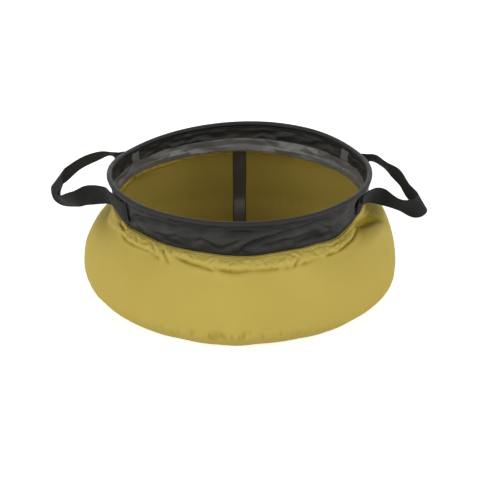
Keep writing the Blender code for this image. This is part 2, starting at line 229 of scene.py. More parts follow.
def beside_line(spots, line):
    """How far each spot lies beside a line of points, below 0 on one side, and its share of the way along."""
    nearest = np.full(len(spots), np.inf)
    side = np.zeros(len(spots))
    along = np.zeros(len(spots))
    for index, (a, b) in enumerate(zip(line, line[1:])):
        run = b - a
        share = np.clip((spots - a) @ run / (run @ run), 0, 1)
        apart = spots - a - share[:, None] * run
        distance = np.linalg.norm(apart, axis=1)
        closer = distance < nearest
        nearest = np.where(closer, distance, nearest)
        side = np.where(closer, np.sign(run[0] * apart[:, 1] - run[1] * apart[:, 0]), side)
        along = np.where(closer, (index + share) / (len(line) - 1), along)
    return nearest * side, along


def fold_heights(azimuth, reach, folds):
    """How far every fold lifts or sinks the cloth. A fold is its depth and its width, then the points of its
    line in degrees of azimuth and metres down the cloth: a valley, with a ridge on each side of it."""
    azimuth, reach = np.broadcast_arrays(azimuth, reach)
    heights = np.zeros(azimuth.shape)
    for depth, width, *line in folds:
        line = smooth_line(line, FOLD_STEPS)
        middle = math.radians(line[:, 0].mean())
        line = np.stack([(np.radians(line[:, 0]) - middle) * HOOP_RADIUS, line[:, 1]], -1)
        turn = (azimuth - middle + math.pi) % math.tau - math.pi
        place = np.stack([turn * HOOP_RADIUS, reach], -1)
        margin = FOLD_REACH * width
        near = np.all((place > line.min(0) - margin) & (place < line.max(0) + margin), -1)
        if not near.any():
            continue
        away, along = beside_line(place[near], line)
        away = away / width
        valley = np.exp(-(away**2) * VALLEY_SHARPNESS)
        form = ridge(away, *RIDGE_ABOVE) - valley + ridge(away, *RIDGE_BELOW)
        tapered = np.sin(np.clip(along, FOLD_TIP, 1 - FOLD_TIP) * math.pi) ** 0.5
        heights[near] += depth * form * tapered
    return heights


# Collar: a cone of cloth between the hoop and the seam with the body

COLLAR_LENGTH = math.hypot(HOOP_RADIUS - FOOT_RADIUS, HOOP_HEIGHT - FOOT_HEIGHT)

# Where the collar leaves its plain cone. Each row is how far, in metres or for a lean in degrees, and then
# where, in degrees round the basin: the middle, and the reach before and after it.
HOOP_PULLS = ((0.0046, 143, 75, 48), (0.0014, 24, 26, 34))
SEAM_LEANS = ((4.5, 212, 24, 24), (8.0, 328, 26, 34))
FOOT_DRAWN_IN = ((0.0048, 341, 30, 30), (0.0010, 200, 20, 20))
FOOT_DRAWN_UP = ((0.0020, 222, 16, 22), (-0.0022, 272, 20, 16), (-0.0024, 317, 14, 12))

# The slow wave of the collar's foot round the back
FOOT_WAVE = 0.0010
FOOT_WAVES_ROUND = 5
BACK_HALF = (90, 100, 100)

# The collar's soft crinkles, as ripples takes them, and how the hem, the foot and the upright seams hold
# them flat
COLLAR_CRINKLES = ((0.0015, 0.026, 3.1, 0.45), (0.0004, 0.010, 7.7, 0.7))
HEM_HOLD_DOWN = 0.005
FOOT_HOLD = 0.75
FOOT_HOLD_UP = 0.007
SEAM_HOLD = 0.90
SEAM_HOLD_DEGREES = (0.8, 4.5)

# Creases in the front of the collar, as fold_heights takes them
COLLAR_FOLDS = [
    (0.0034, 0.0050, (214, 0.0280), (218, 0.0215), (223, 0.0165), (230, 0.0130), (238, 0.0112),
     (246, 0.0120)),
    (0.0014, 0.0032, (235, 0.0200), (242, 0.0138), (245, 0.0168), (250, 0.0164)),
    (0.0015, 0.0032, (231, 0.0290), (238, 0.0265), (242, 0.0225), (245, 0.0185)),
    (0.0030, 0.0027, (252, 0.0249), (255, 0.0222), (261, 0.0290), (264, 0.0283), (268, 0.0225),
     (272, 0.0180)),
    (0.0016, 0.0026, (262, 0.0164), (267, 0.0142), (271, 0.0165)),
    (0.0034, 0.0034, (271.5, 0.035), (271.6, 0.029), (275, 0.0236), (280, 0.0185), (285, 0.0162),
     (290, 0.0145), (299, 0.011)),
    (0.0026, 0.0046, (255, 0.0076), (263, 0.0092), (270, 0.0100), (279, 0.0100), (290, 0.0084)),
    (0.0020, 0.0040, (300, 0.0104), (304, 0.0098), (310, 0.0108)),
    (0.0012, 0.0028, (304, 0.0128), (308, 0.0186), (312, 0.0246)),
    (0.0013, 0.0034, (279, 0.0291), (285, 0.0276), (291, 0.0244), (297, 0.0240)),
]


def scattered_folds(count, seed, azimuths, reaches, span, slope, depth, width):
    """Folds strewn by a seeded draw between two azimuths and two reaches down the cloth, each as long as the
    span says in degrees, and rising or falling by up to the slope at each of its steps."""
    draw = random.Random(seed)
    folds = []
    for index in range(count):
        azimuth = azimuths[0] + (azimuths[1] - azimuths[0]) * (index + draw.uniform(0.1, 0.9)) / count
        reach = draw.uniform(*reaches)
        step = draw.uniform(*span) / 3
        line = [(azimuth, reach)]
        for _ in range(3):
            azimuth += step * draw.uniform(0.6, 1.4)
            reach = min(max(reach + draw.uniform(-slope, slope), reaches[0]), reaches[1])
            line.append((azimuth, reach))
        folds.append((depth * draw.uniform(0.5, 1.0), width * draw.uniform(0.8, 1.3), *line))
    return folds


COLLAR_FOLDS += scattered_folds(20, 5, (-22, 198), (0.010, 0.025), (8, 22), 0.006, depth=0.0018, width=0.0032)


def hoop_give(azimuth):
    """How far the handles' pull draws the hoop in at the back left and, a little, at the back right."""
    return swells(np.degrees(azimuth) % 360, HOOP_PULLS)


def seam_slant(azimuth, down):
    """The two front seams of the collar lean: at the hoop they stand nearer the basin's middle on the left,
    and nearer its side on the right."""
    lean = swells(np.degrees(azimuth) % 360, SEAM_LEANS)
    return np.radians(lean) * np.clip(1 - down / COLLAR_LENGTH, 0, 1)


def foot_shift(azimuth):
    """How far the seam of collar and body is drawn in, and how far up it is drawn."""
    degrees = np.degrees(azimuth) % 360
    wave = FOOT_WAVE * np.sin(np.radians(degrees) * FOOT_WAVES_ROUND) * swell(degrees, *BACK_HALF)
    return swells(degrees, FOOT_DRAWN_IN), swells(degrees, FOOT_DRAWN_UP) + wave


def crinkle(azimuth, down):
    """How far the collar's cloth stands out of its cone."""
    free = ease(down, HEM_LEG, HEM_LEG + HEM_HOLD_DOWN)
    free = free * (1 - FOOT_HOLD * ease(down, COLLAR_LENGTH - FOOT_HOLD_UP, COLLAR_LENGTH))
    from_seams = [np.abs((np.degrees(azimuth) - seam + 180) % 360 - 180) for seam in SEAM_AZIMUTHS]
    free = free * (1 - SEAM_HOLD * (1 - ease(np.min(from_seams, 0), *SEAM_HOLD_DEGREES)))
    return free * (ripples(azimuth, down, COLLAR_CRINKLES) + fold_heights(azimuth, down, COLLAR_FOLDS))


def on_collar(azimuth, down, out, crinkled=True):
    """A place at a distance down the collar from the hoop's centre line, and out from its cloth's middle."""
    azimuth, down, out = np.broadcast_arrays(azimuth, down, out)
    azimuth = azimuth + seam_slant(azimuth, down)
    give = hoop_give(azimuth)
    inwards, upwards = foot_shift(azimuth)
    top = np.stack([HOOP_RADIUS - give, HOOP_HEIGHT - give], -1)
    run = np.stack([FOOT_RADIUS - inwards, FOOT_HEIGHT + upwards], -1) - top
    length = np.linalg.norm(run, axis=-1, keepdims=True)
    slope = run / length
    square = np.stack([-slope[..., 1], slope[..., 0]], -1)
    share = (down / COLLAR_LENGTH)[..., None] * length
    stand = (out + crinkle(azimuth, down) if crinkled else out)[..., None]
    place = top + slope * share + square * stand
    return turned(azimuth, place[..., 0], place[..., 1])


def linked_piece(name, mesh, material):
    """The mesh as a smooth piece of one material in the scene."""
    mesh.shade_smooth()
    mesh.materials.append(material)
    piece = bpy.data.objects.new(name, mesh)
    bpy.context.scene.collection.objects.link(piece)
    return piece


def grid_piece(name, points, run_u, run_v, material, around=False, relief_and_painted_shade=None):
    """A cloth mesh over a grid of points, rows by columns, whose columns close where it goes around. The runs
    give each column's and row's place in the cloth, in metres, for its weave. The relief is how far each
    point stands out in a fold, in metres, with painted shade added in places; the colour takes from it a
    painted highlight with rubbing on the crests and painted shade in the hollows."""
    rows, columns = points.shape[:2]
    last_column = columns if around else columns - 1
    row, column = (axis.ravel() for axis in np.meshgrid(range(rows - 1), range(last_column), indexing="ij"))
    next_column = (column + 1) % columns
    corners = [(row, column), (row, next_column), (row + 1, next_column), (row + 1, column)]
    faces = np.stack([r * columns + c for r, c in corners], -1)
    mesh = bpy.data.meshes.new(name)
    mesh.from_pydata(points.reshape(-1, 3).tolist(), [], faces.tolist())
    layer = mesh.uv_layers.new(name="cloth")
    run_u, run_v = np.asarray(run_u), np.asarray(run_v)
    u = np.stack([run_u[column], run_u[column + 1], run_u[column + 1], run_u[column]], -1)
    v = np.stack([run_v[row], run_v[row], run_v[row + 1], run_v[row + 1]], -1)
    layer.data.foreach_set("uv", np.stack([u, v], -1).ravel())
    if relief_and_painted_shade is not None:
        # The fold attribute holds the folds and painted shade, for a painted highlight and painted shade in
        # the colour
        mesh.attributes.new("fold", "FLOAT", "POINT").data.foreach_set("value", np.ravel(relief_and_painted_shade / FOLD_DEPTH))
    return linked_piece(name, mesh, material)


def add_faces(piece, places, faces):
    """Adds vertices and faces to a piece, which loses its weave."""
    mesh = piece.data
    places = [tuple(vertex.co) for vertex in mesh.vertices] + places
    faces = [tuple(face.vertices) for face in mesh.polygons] + faces
    mesh.clear_geometry()
    mesh.from_pydata(places, [], faces)
    mesh.shade_smooth()


def thicken(piece, thickness, offset):
    solidify = piece.modifiers.new("thickness", "SOLIDIFY")
    solidify.thickness = thickness
    solidify.offset = offset
    solidify.use_even_offset = False


def run_along(points):
    """The distance along a line of points, from 0."""
    steps = np.linalg.norm(np.diff(points, axis=0), axis=-1)
    return np.concatenate([[0], np.cumsum(steps)])


def line_frames(line):
    """The way ahead along a line of points, and the way up that is square to it."""
    ahead = unit(np.gradient(line, axis=0))
    return ahead, unit(np.array([0.0, 0.0, 1.0]) - ahead * ahead[:, 2:])


def full_turn(columns):
    return np.linspace(0, math.tau, columns, endpoint=False)


def turn_runs(columns):
    return np.linspace(0, math.tau * HOOP_RADIUS, columns + 1)


def ring_runs(points):
    """The runs of a piece that goes all the way round."""
    return turn_runs(points.shape[1]), run_along(points[:, 0])


# Shader building

def set_inputs(tree, node, inputs):
    """Sets each input of a node to a value, or links it to a socket."""
    for key, value in inputs.items():
        if isinstance(value, bpy.types.NodeSocket):
            tree.links.new(value, node.inputs[key])
        else:
            node.inputs[key].default_value = value


def add_node(tree, kind, inputs=None, **settings):
    """A node with its settings made and its inputs set or linked."""
    node = tree.nodes.new(kind)
    for key, value in settings.items():
        setattr(node, key, value)
    set_inputs(tree, node, inputs or {})
    return node


def math_node(tree, operation, *values):
    node = add_node(tree, "ShaderNodeMath", dict(enumerate(values)), operation=operation)
    return node.outputs[0]


def new_group(name, inputs, outputs):
    """A shader node group with named float inputs, each with its start value, and named float outputs."""
    group = bpy.data.node_groups.new(name, "ShaderNodeTree")
    for label, value in inputs.items():
        socket = group.interface.new_socket(label, in_out="INPUT", socket_type="NodeSocketFloat")
        socket.default_value = value
    for label in outputs:
        group.interface.new_socket(label, in_out="OUTPUT", socket_type="NodeSocketFloat")
    return group, group.nodes.new("NodeGroupInput"), group.nodes.new("NodeGroupOutput")


def plain_weave_group():
    """Warp and weft passing over and under each other, over the cloth's own lengths in metres."""
    sizes = {"Thread Pitch": 0.0004, "Slubs": 0.3}
    group, given, result = new_group("plain weave", sizes, ["Height", "Shade"])
    place = add_node(group, "ShaderNodeTexCoord").outputs["UV"]
    apart = add_node(group, "ShaderNodeSeparateXYZ", {0: place})
    turns = math_node(group, "DIVIDE", math.pi, given.outputs["Thread Pitch"])
    warp = math_node(group, "SINE", math_node(group, "MULTIPLY", apart.outputs[0], turns))
    weft = math_node(group, "SINE", math_node(group, "MULTIPLY", apart.outputs[1], turns))
    crossing = math_node(group, "MULTIPLY", warp, weft)
    slubs = add_node(group, "ShaderNodeTexNoise", {"Vector": place, "Scale": 900.0, "Detail": 2.0})
    thicker = math_node(group, "SUBTRACT", slubs.outputs["Fac"], 0.5)
    uneven = math_node(group, "MULTIPLY", thicker, given.outputs["Slubs"])
    height = math_node(group, "ADD", math_node(group, "MULTIPLY_ADD", crossing, 0.5, 0.5), uneven)
    group.links.new(height, result.inputs["Height"])
    shade = math_node(group, "MULTIPLY_ADD", uneven, 0.5, 0.5)
    group.links.new(shade, result.inputs["Shade"])
    return group


def webbing_weave_group():
    """Ribs along the strap crossed by fine picks of weft, as in narrow-loom webbing."""
    group, given, result = new_group("webbing weave", {"Rib Pitch": 0.0016, "Pick Pitch": 0.0009}, ["Height"])
    place = add_node(group, "ShaderNodeTexCoord").outputs["UV"]
    apart = add_node(group, "ShaderNodeSeparateXYZ", {0: place})
    rib_turns = math_node(group, "DIVIDE", math.pi, given.outputs["Rib Pitch"])
    pick_turns = math_node(group, "DIVIDE", math.tau, given.outputs["Pick Pitch"])
    ribs = math_node(group, "MULTIPLY", apart.outputs[1], rib_turns)
    picks = math_node(group, "MULTIPLY", apart.outputs[0], pick_turns)
    step = math_node(group, "SIGN", math_node(group, "SINE", ribs))
    pick = math_node(group, "SINE", math_node(group, "MULTIPLY_ADD", step, math.pi / 2, picks))
    rib = math_node(group, "ABSOLUTE", math_node(group, "COSINE", ribs))
    height = math_node(group, "MULTIPLY_ADD", pick, 0.3, math_node(group, "POWER", rib, 0.5))
    group.links.new(height, result.inputs["Height"])
    return group


def handling_marks_group():
    """Broad soft patches and small scuffs from folding and handling."""
    sizes = {"Patch Size": 0.05, "Scuff Size": 0.006}
    group, given, result = new_group("handling marks", sizes, ["Patches", "Scuffs"])
    place = add_node(group, "ShaderNodeTexCoord").outputs["Object"]
    for label, size, detail in (("Patches", "Patch Size", 3.0), ("Scuffs", "Scuff Size", 5.0)):
        scale = math_node(group, "DIVIDE", 1.0, given.outputs[size])
        spots = add_node(group, "ShaderNodeTexNoise", {"Vector": place, "Scale": scale, "Detail": detail})
        group.links.new(spots.outputs["Fac"], result.inputs[label])
    return group


def group_node(tree, group, **values):
    node = tree.nodes.new("ShaderNodeGroup")
    node.node_tree = group
    for key, value in values.items():
        node.inputs[key.replace("_", " ")].default_value = value
    return node


# The sockets of a colour mix, by their places: its amount, its two colours and what it gives
MIX_AMOUNT, MIX_FIRST, MIX_SECOND, MIX_RESULT = 0, 6, 7, 2


def mixed_colour(tree, amount, first, second):
    """A colour between two, each of which is a socket or three numbers."""
    inputs = {MIX_AMOUNT: amount}
    for key, part in ((MIX_FIRST, first), (MIX_SECOND, second)):
        inputs[key] = part if isinstance(part, bpy.types.NodeSocket) else (*part, 1)
    return add_node(tree, "ShaderNodeMix", inputs, data_type="RGBA").outputs[MIX_RESULT]


def spread(tree, value, low, high, start, end):
    """A value's range from low to high moved to start to end."""
    inputs = {0: value, 1: low, 2: high, 3: start, 4: end}
    return add_node(tree, "ShaderNodeMapRange", inputs).outputs[0]


def new_material(name):
    material = bpy.data.materials.new(name)
    material.use_nodes = True
    return material, material.node_tree, material.node_tree.nodes["Principled BSDF"]


def weave_bump(tree, weave, strength, distance):
    """The normal that the weave's height gives."""
    inputs = {"Strength": strength, "Distance": distance, "Height": weave.outputs["Height"]}
    return add_node(tree, "ShaderNodeBump", inputs).outputs["Normal"]


# The middle of a noise's range, in which nearly all of it lies
NOISE_LOW = 0.3
NOISE_HIGH = 0.7


def marked(tree, marks, label, start, end):
    """The patches or the scuffs of a piece's handling, as a value from start to end."""
    return spread(tree, marks.outputs[label], NOISE_LOW, NOISE_HIGH, start, end)


# How strongly the cloth's slubs, its rubbed crests with their painted highlight and its hollows' painted
# shade show, and how far scuffs change its roughness. The painted shade is darkest at HOLLOW_FULL times
# FOLD_DEPTH.
SLUB_SHADE = 0.12
CREST_RUB_AND_PAINTED_HIGHLIGHT = 0.7
HOLLOW_FULL = -1.2
HOLLOW_PAINTED_SHADE = 0.9
SCUFF_SMOOTHER = 0.06
SCUFF_ROUGHER = 0.08

# Colours of the webbing, with the painted shade between its yarns, and of the tape
WEBBING_FRESH = (0.026, 0.026, 0.025)
WEBBING_WORN = (0.032, 0.032, 0.031)
WEBBING_GAP_SHADE = (0.008, 0.008, 0.008)
TAPE_DARK = (0.100, 0.097, 0.088)
TAPE_LIGHT = (0.118, 0.114, 0.104)


def coated_cloth(name, light, dark, rubbed_and_painted_highlight, painted_shade_colour, roughness, specular):
    """Coated woven cloth: its colour drifts between two tones, is rubbed paler on the crests of its folds
    with a painted highlight and has painted shade in their hollows, and its gloss is broken by the weave and
    by scuffs."""
    material, tree, shader = new_material(name)
    weave = group_node(tree, PLAIN_WEAVE, Thread_Pitch=0.00045)
    marks = group_node(tree, HANDLING_MARKS, Patch_Size=0.07, Scuff_Size=0.010)
    patches = marked(tree, marks, "Patches", 0.0, 1.0)
    tone = mixed_colour(tree, patches, light, dark)
    slubs = spread(tree, weave.outputs["Shade"], 0.4, 0.6, 0.0, SLUB_SHADE)
    tone = mixed_colour(tree, slubs, tone, dark)
    # Crests get a paler colour that is rubbing and a painted highlight; hollows get painted shade
    fold = add_node(tree, "ShaderNodeAttribute", attribute_name="fold").outputs["Fac"]
    tone = mixed_colour(tree, spread(tree, fold, 0.0, 1.0, 0.0, CREST_RUB_AND_PAINTED_HIGHLIGHT), tone, rubbed_and_painted_highlight)
    tone = mixed_colour(tree, spread(tree, fold, 0.0, HOLLOW_FULL, 0.0, HOLLOW_PAINTED_SHADE), tone, painted_shade_colour)
    scuffs = marked(tree, marks, "Scuffs", roughness - SCUFF_SMOOTHER, roughness + SCUFF_ROUGHER)
    normal = weave_bump(tree, weave, strength=0.5, distance=0.00006)
    inputs = {"Base Color": tone, "Roughness": scuffs, "Specular IOR Level": specular, "Normal": normal}
    set_inputs(tree, shader, inputs)
    return material


def webbing_material():
    """Ribbed black webbing, a little greyer in patches, with painted shade near black between its yarns."""
    material, tree, shader = new_material("black webbing")
    weave = group_node(tree, WEBBING_WEAVE, Rib_Pitch=0.0016, Pick_Pitch=0.0009)
    marks = group_node(tree, HANDLING_MARKS, Patch_Size=0.03, Scuff_Size=0.004)
    patches = marked(tree, marks, "Patches", 0.0, 0.5)
    yarn = mixed_colour(tree, patches, WEBBING_FRESH, WEBBING_WORN)
    # Painted shade near black between the yarns, where the weave is low
    gap_painted_shade = spread(tree, weave.outputs["Height"], 0.2, 1.2, 1.0, 0.0)
    tone = mixed_colour(tree, gap_painted_shade, yarn, WEBBING_GAP_SHADE)
    normal = weave_bump(tree, weave, strength=0.7, distance=0.00025)
    gloss = {"Roughness": 0.8, "Specular IOR Level": 0.09, "Sheen Weight": 0.06}
    set_inputs(tree, shader, {"Base Color": tone, "Normal": normal, **gloss})
    return material


def tape_material():
    """Grey heat-bonded tape, smoother where it is less scuffed."""
    material, tree, shader = new_material("seam tape")
    weave = group_node(tree, PLAIN_WEAVE, Thread_Pitch=0.0006)
    marks = group_node(tree, HANDLING_MARKS, Patch_Size=0.02, Scuff_Size=0.003)
    patches = spread(tree, marks.outputs["Patches"], 0.35, 0.65, 0.0, 1.0)
    tone = mixed_colour(tree, patches, TAPE_DARK, TAPE_LIGHT)
    scuffs = marked(tree, marks, "Scuffs", 0.28, 0.5)
    normal = weave_bump(tree, weave, strength=0.3, distance=0.00008)
    set_inputs(tree, shader, {"Base Color": tone, "Roughness": scuffs, "Normal": normal})
    return material


def thread_material(name, colour):
    """Sewing thread, with painted shade in flecks for the turns of its twist."""
    material, tree, shader = new_material(name)
    marks = group_node(tree, HANDLING_MARKS, Patch_Size=0.01, Scuff_Size=0.001)
    painted_twist_shade = marked(tree, marks, "Scuffs", 0.0, 1.0)
    # The darker colour is painted shade
    painted_shade_colour = tuple(part * 0.6 for part in colour)
    set_inputs(tree, shader, {"Base Color": mixed_colour(tree, painted_twist_shade, colour, painted_shade_colour), "Roughness": 0.6})
    return material


def steel_material(name, colour, roughness):
    """Bare or plated steel, dull in patches."""
    material, tree, shader = new_material(name)
    marks = group_node(tree, HANDLING_MARKS, Patch_Size=0.01, Scuff_Size=0.0008)
    scuffs = marked(tree, marks, "Scuffs", roughness, roughness + 0.15)
    dull = tuple(part * 0.8 for part in colour)
    tone = mixed_colour(tree, marks.outputs["Patches"], colour, dull)
    set_inputs(tree, shader, {"Base Color": tone, "Roughness": scuffs, "Metallic": 1.0})
    return material


PLAIN_WEAVE = plain_weave_group()
WEBBING_WEAVE = webbing_weave_group()
HANDLING_MARKS = handling_marks_group()
# Each cloth's crest colour is rubbing and a painted highlight, and its hollow colour is painted shade
body_cloth = coated_cloth(
    "ochre coated cloth",
    light=(0.535, 0.414, 0.094),
    dark=(0.500, 0.384, 0.082),
    rubbed_and_painted_highlight=(0.550, 0.433, 0.108),
    painted_shade_colour=(0.280, 0.205, 0.010),
    roughness=0.65,
    specular=0.08,
)
collar_cloth = coated_cloth(
    "charcoal coated cloth",
    light=(0.0185, 0.0185, 0.0165),
    dark=(0.0140, 0.0140, 0.0125),
    rubbed_and_painted_highlight=(0.0310, 0.0310, 0.0280),
    painted_shade_colour=(0.0036, 0.0036, 0.0032),
    roughness=0.55,
    specular=0.24,
)
webbing = webbing_material()
seam_tape = tape_material()
dark_thread = thread_material("charcoal thread", (0.05, 0.05, 0.048))
ochre_thread = thread_material("ochre thread", (0.33, 0.25, 0.035))
spring_steel = steel_material("spring steel", (0.55, 0.55, 0.56), 0.3)
plated_steel = steel_material("plated steel", (0.65, 0.64, 0.62), 0.28)


# Body wall

WALL_COLUMNS = 960
LOWER_WALL_ROWS = 34
UPPER_WALL_ROWS = 84
TOPSTITCH_DOWN = 0.0046

# How far below the collar its foot's pull reaches, and the rows of the edge turned in behind the collar
PULL_REACH = 0.035
TURN_IN_RISES = (0.0, 0.0015, 0.0035)
TURN_IN_STEP = 0.001
TURN_IN_GAP = 0.0006

# Creases in the body under the front of the collar, as fold_heights takes them
WALL_FOLDS = [
    (0.0018, 0.0017, (213, 0.0108), (216, 0.0136), (219, 0.0154), (225, 0.0157), (229, 0.0151),
     (233, 0.0146)),
    (0.0010, 0.0026, (233, 0.0160), (237, 0.0184), (240, 0.0190)),
    (0.0024, 0.0024, (237.5, 0.0060), (240, 0.0142), (242.5, 0.0216)),
    (0.0011, 0.0016, (241.5, 0.0060), (243.2, 0.0125)),
    (0.0032, 0.0028, (244.5, 0.0115), (249, 0.0150), (254, 0.0175), (258, 0.0193), (260, 0.0214)),
    (0.0014, 0.0016, (257, 0.0170), (258.5, 0.0123), (260, 0.0080)),
    (0.0030, 0.0036, (260, 0.0164), (264, 0.0198), (269, 0.0211), (273, 0.0197)),
    (0.0026, 0.0022, (205, 0.0024), (210, 0.0044), (214, 0.0068)),
    (0.0010, 0.0014, (297, 0.0066), (306, 0.0061), (311, 0.0085), (314, 0.0068), (319, 0.0070)),
    (0.0022, 0.0020, (306, 0.0180), (312, 0.0171), (318, 0.0143), (324, 0.0128), (331, 0.0086)),
    (0.0015, 0.0018, (291.6, 0.0203), (292.7, 0.0133), (291.2, 0.0070)),
    (0.0020, 0.0030, (273, 0.0197), (279, 0.0203), (284, 0.0203), (290, 0.0207), (296, 0.0193),
     (301, 0.0175)),
    (0.0050, 0.0074, (332, 0.0056), (336, 0.0076), (340, 0.0108), (344, 0.0145), (348, 0.0200),
     (352, 0.0290)),
    (0.0024, 0.0024, (291.0, 0.0206), (292.4, 0.0168), (293.4, 0.0130)),
    (0.0012, 0.0016, (302, 0.0158), (301, 0.0070)),
    (0.0011, 0.0015, (249.8, 0.0070), (252.2, 0.0120)),
    (0.0012, 0.0016, (279, 0.0066), (280.5, 0.0150)),
    (0.0012, 0.0016, (268, 0.0100), (265.5, 0.0160)),
    (0.0013, 0.0016, (286.8, 0.0090), (284, 0.0160)),
    (0.0012, 0.0016, (231.5, 0.0055), (235.2, 0.0130)),
    (0.0010, 0.0016, (222.5, 0.0060), (225.5, 0.0125)),
    (0.0010, 0.0016, (314.5, 0.0110), (309.5, 0.0160)),
]
for seam in SEAM_AZIMUTHS[:2]:
    WALL_FOLDS.append((0.0018, 0.0024, (seam - 1, 0.001), (seam - 3, 0.010), (seam - 6, 0.024)))
    WALL_FOLDS.append((0.0018, 0.0024, (seam + 5, 0.027), (seam + 3, 0.012), (seam + 1, 0.001)))
WALL_FOLDS += scattered_folds(24, 11, (0, 174), (0.009, 0.024), (6, 16), 0.004, depth=0.0021, width=0.0024)
WALL_FOLDS += scattered_folds(18, 12, (0, 174), (0.004, 0.019), (2, 4), 0.007, depth=0.0015, width=0.0016)

# The step under the collar where the seam's allowance ends: azimuth in degrees, distance down the cloth in
# metres and how sharply it shows
STEP_AZIMUTHS, STEP_REACHES, STEP_STRENGTHS = zip(
    (208, 0.0100, 0.4),
    (214, 0.0118, 0.7),
    (224, 0.0157, 0.7),
    (231, 0.0146, 0.6),
    (238, 0.0185, 0.1),
    (245, 0.0125, 0.6),
    (253, 0.0175, 1.0),
    (259, 0.0214, 0.9),
    (264, 0.0198, 1.0),
    (273, 0.0197, 0.8),
    (284, 0.0203, 0.3),
    (290, 0.0207, 0.2),
    (296, 0.0193, 0.5),
    (301, 0.0175, 0.5),
    (307, 0.0177, 0.6),
    (312, 0.0171, 0.9),
    (318, 0.0143, 1.0),
    (324, 0.0128, 1.0),
    (330, 0.0095, 0.7),
)

# Where the measured step at the front begins, holds, begins to end and ends, in degrees
STEP_FRONT = (200, 212, 328, 340)


def step_value(azimuth, at_front, elsewhere):
    """The measured values of the step at the front and others round the rest of the basin."""
    degrees = np.degrees(azimuth) % 360
    measured = np.interp(degrees, STEP_AZIMUTHS, at_front)
    return elsewhere + (measured - elsewhere) * between(degrees, *STEP_FRONT)


def step_reach(azimuth):
    """How far below the collar the step lies at an azimuth."""
    return step_value(azimuth, STEP_REACHES, 0.0160 + 0.0040 * ripple(azimuth, 0.0, 0.045, 5.5))


def step_strength(azimuth):
    """How sharply the step shows at an azimuth."""
    return step_value(azimuth, STEP_STRENGTHS, 0.6 + 0.4 * ripple(azimuth, 0.0, 0.020, 6.6))


def wall_outline(share):
    """The body's outer face as (radius, height): the base seam at 0, the bulge at 1 and the collar at 2."""
    share = np.asarray(share, float)
    turn = np.clip(np.where(share < 1, share, share - 1), 0, 1) * math.pi / 2
    out, up = np.sin(turn), 1 - np.cos(turn)
    lower = np.stack([BASE_RADIUS + (BULGE_RADIUS - BASE_RADIUS) * out, BULGE_HEIGHT * up], -1)
    back = np.maximum(np.cos(turn), 0) ** UPPER_FULLNESS
    rise = np.sin(turn) ** UPPER_FULLNESS
    foot = FOOT_RADIUS + COLLAR_CLOTH
    radius = foot + (BULGE_RADIUS - foot) * back
    upper = np.stack([radius, BULGE_HEIGHT + (FOOT_HEIGHT - BULGE_HEIGHT) * rise], -1)
    return np.where((share < 1)[..., None], lower, upper)


# The wall's cloth measured from the base seam up: fine steps of its share, and the distance to each
FINE_SHARES = np.linspace(0, 2, 801)
FINE_RUN = run_along(wall_outline(FINE_SHARES))


def wall_shares():
    """Rows over the wall, closer together towards the collar."""
    lower = np.linspace(0, 1, LOWER_WALL_ROWS, endpoint=False)
    climb = np.linspace(0, 1, UPPER_WALL_ROWS)
    return np.concatenate([lower, 1 + climb * (1.7 - 0.7 * climb)])


# The gathers under the collar, as ripples takes them, then how high and how wide the step and the row
# of topstitching are
GATHERS = ((0.0007, 0.0066, 4.4, 2.0), (0.0006, 0.0032, 9.1, 1.5))
GATHER_CREASE = 0.0007
STEP_RISE = 0.0009
STEP_DROP = 0.0010
STEP_WIDTH = 0.0017
TOPSTITCH_DROP = 0.0005
TOPSTITCH_WIDTH = 0.0007

# Where the wall hangs slack: round the basin in degrees, as swell takes it, and down the cloth in metres, as
# between does. The right one's degrees are from the front.
LEFT_SLACK = (173, 64, 42), (0.0004, 0.008, 0.018, 0.046)
SHOULDER_SLACK = (176, 50, 46), (0.0004, 0.020, 0.030, 0.074)
RIGHT_SLACK = (80, 36, 40), (0.0005, 0.007, 0.009, 0.032)
LEFT_SLACK_DEPTH = 0.0085
SHOULDER_SLACK_DEPTH = 0.0052
RIGHT_SLACK_DEPTH = 0.0082
# Painted shade at the slack left and right shoulders, as dark as a fold sunk this far, in metres
LEFT_SHOULDER_PAINTED_SHADE = 0.0026
RIGHT_SHOULDER_PAINTED_SHADE = 0.0034

# How far the wall stands out in its heel and its slow swells, and in the puckers of its lower part
HEEL_HEIGHT = 0.0026
LEAN_OUT = 0.0017
BULGE_SWELL = 0.0012
SOFT_SWELL = 0.0005
SEAM_PUCKER = 0.0006
LOW_PUCKER = 0.0013


def slack(degrees, below, around, down):
    """How slack the wall hangs, from 0 to 1."""
    return swell(degrees, *around) * between(below, *down)


def gathered(azimuth, below, degrees, from_front):
    """The step under the collar, the dip of the topstitching and the gathers between them."""
    line = step_reach(azimuth)
    band = between(below, 0.0005, 0.004, line - 0.0005, line + 0.0035)
    step = STEP_RISE * band - STEP_DROP * dip(below - line, STEP_WIDTH) * step_strength(azimuth)
    step = step - TOPSTITCH_DROP * dip(below - TOPSTITCH_DOWN, TOPSTITCH_WIDTH)
    creases = GATHER_CREASE * (0.35 - np.abs(ripple(azimuth, below, 0.0085, 2.7, 1.6)))
    loose = ease(below, TOPSTITCH_DOWN - 0.0012, TOPSTITCH_DOWN + 0.0022)
    calm = 1 - 0.85 * swell(degrees, 190, 24, 17) - 0.6 * swell(from_front, 84, 20, 26)
    uneven = 0.70 + 0.30 * ripple(azimuth, 0.0, 0.050, 2.2)
    return step + (ripples(azimuth, below, GATHERS) + creases) * band * loose * calm * uneven


def puckered(azimuth, above_base, degrees):
    """The small puckers along the base seam, and those higher up on the lower wall, mostly at the front."""
    seam = dip(above_base, 0.011) * ease(above_base, 0, 0.003)
    low = swell(above_base, 0.082, 0.014, 0.011) * ease(ripple(azimuth, 0.0, 0.030, 15.2), -1.7, 0.2)
    low = low * (0.2 + 0.8 * swell(degrees, 265, 36, 36))
    return ripple(azimuth, above_base, 0.0040, 12.4, 3.2) * (SEAM_PUCKER * seam + LOW_PUCKER * low)


